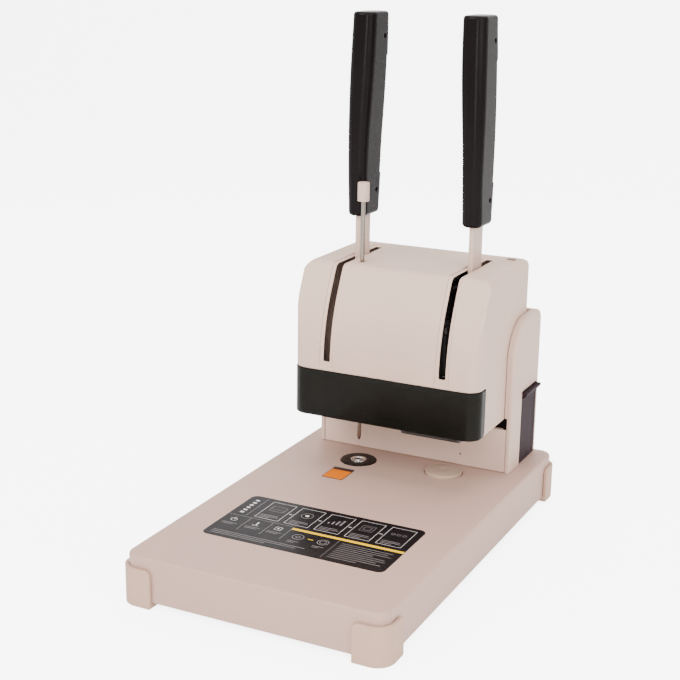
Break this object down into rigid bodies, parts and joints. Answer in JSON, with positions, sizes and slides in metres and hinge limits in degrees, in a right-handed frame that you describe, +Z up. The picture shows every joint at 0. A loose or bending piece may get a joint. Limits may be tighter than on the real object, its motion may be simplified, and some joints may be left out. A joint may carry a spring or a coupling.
{
  "type": "document riveting machine",
  "caption": "Desk riveting machine for bound papers: a flat table under a tall head with a powered paper drill and a heated tube riveter, each worked by an upright lever.",
  "frame": {"origin": "on the floor, under the middle of the four corner feet", "axes": "+X is the operator's right, +Y is to the rear, +Z is up"},
  "size_m": [0.278, 0.46, 0.533],
  "materials": {
    "beige_plastic": "fine moulded texture, warm grey-beige, satin",
    "foot_plastic": "fine moulded texture, warm grey-beige",
    "black_grip": "black, satin moulded",
    "black_plastic": "black, satin",
    "smoked_guard": "smoked translucent plastic, glossy",
    "drawer_plastic": "dark plum grey, satin",
    "label_film": "black printed film with thin white frames and a yellow bar",
    "tag_film": "orange film with a dark border",
    "steel": "ground steel",
    "plate_steel": "grey coated sheet steel",
    "zinc": "zinc plated",
    "alloy": "machined",
    "bronze": "sintered bronze",
    "nylon": "milky nylon",
    "ring_plastic": "black heat-resistant plastic",
    "board": "circuit board with dark parts",
    "belt_rubber": "toothed belt",
    "rocker_red": "red",
    "lever_paint": "beige powder coat"
  },
  "bodies": {
    "stand": {"base_cover": "beige_plastic", "bottom_plate": "zinc", "front_left_foot": "foot_plastic", "front_right_foot": "foot_plastic", "rear_left_foot": "foot_plastic", "rear_right_foot": "foot_plastic", "instruction_label": "label_film", "colour_tag": "tag_film", "base_plate": "plate_steel", "plate_spacers": "zinc", "frame_screws": "zinc", "lower_die": "steel", "die_heater": "alloy", "heat_ring": "ring_plastic", "pad_seat": "alloy", "column_housing": "beige_plastic", "paper_stop_panel": "beige_plastic", "rear_cover": "beige_plastic", "rear_cover_screws": "zinc", "power_inlet": "black_plastic", "switch_frame": "black_plastic", "chip_chute": "black_plastic", "machine_frame": "plate_steel", "top_bracket": "plate_steel", "lower_bracket": "plate_steel", "lever_springs": "zinc", "guide_rods": "steel", "ram_guide": "alloy", "shaft_bushes": "bronze", "control_board": "board", "head_housing": "beige_plastic", "front_guard": "smoked_guard", "head_floor": "black_plastic"},
    "rivet_lever": {"rivet_lever_arm": "lever_paint", "rivet_grip": "black_grip", "rivet_shaft": "steel", "rivet_pinion": "steel"},
    "drill_lever": {"drill_lever_arm": "lever_paint", "drill_grip": "black_grip", "drill_shaft": "steel", "drill_pinion": "steel"},
    "rivet_press": {"rivet_ram": "steel", "ram_rack": "steel", "upper_die": "steel"},
    "guide_needle": {"guide_needle": "steel", "needle_knob": "beige_plastic"},
    "drill_carriage": {"drill_carriage": "alloy", "carriage_rack": "steel", "drill_motor": "plate_steel", "drive_belt": "belt_rubber", "spindle_bearings": "steel", "chip_tube": "black_plastic", "presser_springs": "zinc"},
    "drill_spindle": {"drill_spindle": "steel", "drill_bit": "steel"},
    "motor_rotor": {"motor_pulley": "alloy"},
    "presser": {"presser_plate": "steel"},
    "cutter_pad": {"cutter_pad": "nylon"},
    "chip_drawer": {"chip_box": "drawer_plastic"},
    "power_rocker": {"switch_rocker": "rocker_red"}
  },
  "joints": [
    {"name": "rivet_lever_hinge", "type": "hinge", "parent": "stand", "child": "rivet_lever", "pos_m": [-0.0656, 0.154, 0.186], "axis": [1, 0, 0], "range_deg": [0, 78], "stiffness_Nm_per_rad": 0.5, "springref_deg": -68.75},
    {"name": "rivet_press_slide", "type": "slide", "parent": "stand", "child": "rivet_press", "axis": [0, 0, -1], "range_m": [0, 0.0491]},
    {"name": "needle_slide", "type": "slide", "parent": "rivet_press", "child": "guide_needle", "axis": [0, 0, 1], "range_m": [0, 0.02]},
    {"name": "drill_lever_hinge", "type": "hinge", "parent": "stand", "child": "drill_lever", "pos_m": [0.0656, 0.154, 0.186], "axis": [1, 0, 0], "range_deg": [0, 78], "stiffness_Nm_per_rad": 1, "springref_deg": -68.75},
    {"name": "drill_carriage_slide", "type": "slide", "parent": "stand", "child": "drill_carriage", "axis": [0, 0, -1], "range_m": [0, 0.0491]},
    {"name": "presser_slide", "type": "slide", "parent": "drill_carriage", "child": "presser", "axis": [0, 0, 1], "range_m": [0, 0.0251], "deforming": ["presser_springs"]},
    {"name": "spindle_spin", "type": "hinge", "parent": "drill_carriage", "child": "drill_spindle", "pos_m": [0.0475, 0.097, 0.2], "axis": [0, 0, 1], "continuous": true},
    {"name": "motor_spin", "type": "hinge", "parent": "drill_carriage", "child": "motor_rotor", "pos_m": [-0.001, 0.097, 0.2], "axis": [0, 0, 1], "continuous": true},
    {"name": "pad_turn", "type": "hinge", "parent": "stand", "child": "cutter_pad", "pos_m": [0.05, 0.107, 0.05], "axis": [0, 0, 1], "continuous": true},
    {"name": "chip_box_slide", "type": "slide", "parent": "stand", "child": "chip_drawer", "axis": [1, 0, 0], "range_m": [0, 0.09]},
    {"name": "power_rocker_hinge", "type": "hinge", "parent": "stand", "child": "power_rocker", "pos_m": [-0.01, 0.217, 0.084], "axis": [1, 0, 0], "range_deg": [0, 14]}
  ],
  "couplings": [
    {"joint": "rivet_press_slide", "follows": "rivet_lever_hinge", "m_per_rad": 0.036},
    {"joint": "drill_carriage_slide", "follows": "drill_lever_hinge", "m_per_rad": 0.036},
    {"joint": "presser_slide", "follows": "drill_lever_hinge", "m_per_rad": 0.0183},
    {"joint": "motor_spin", "follows": "spindle_spin", "ratio": 1.5}
  ]
}
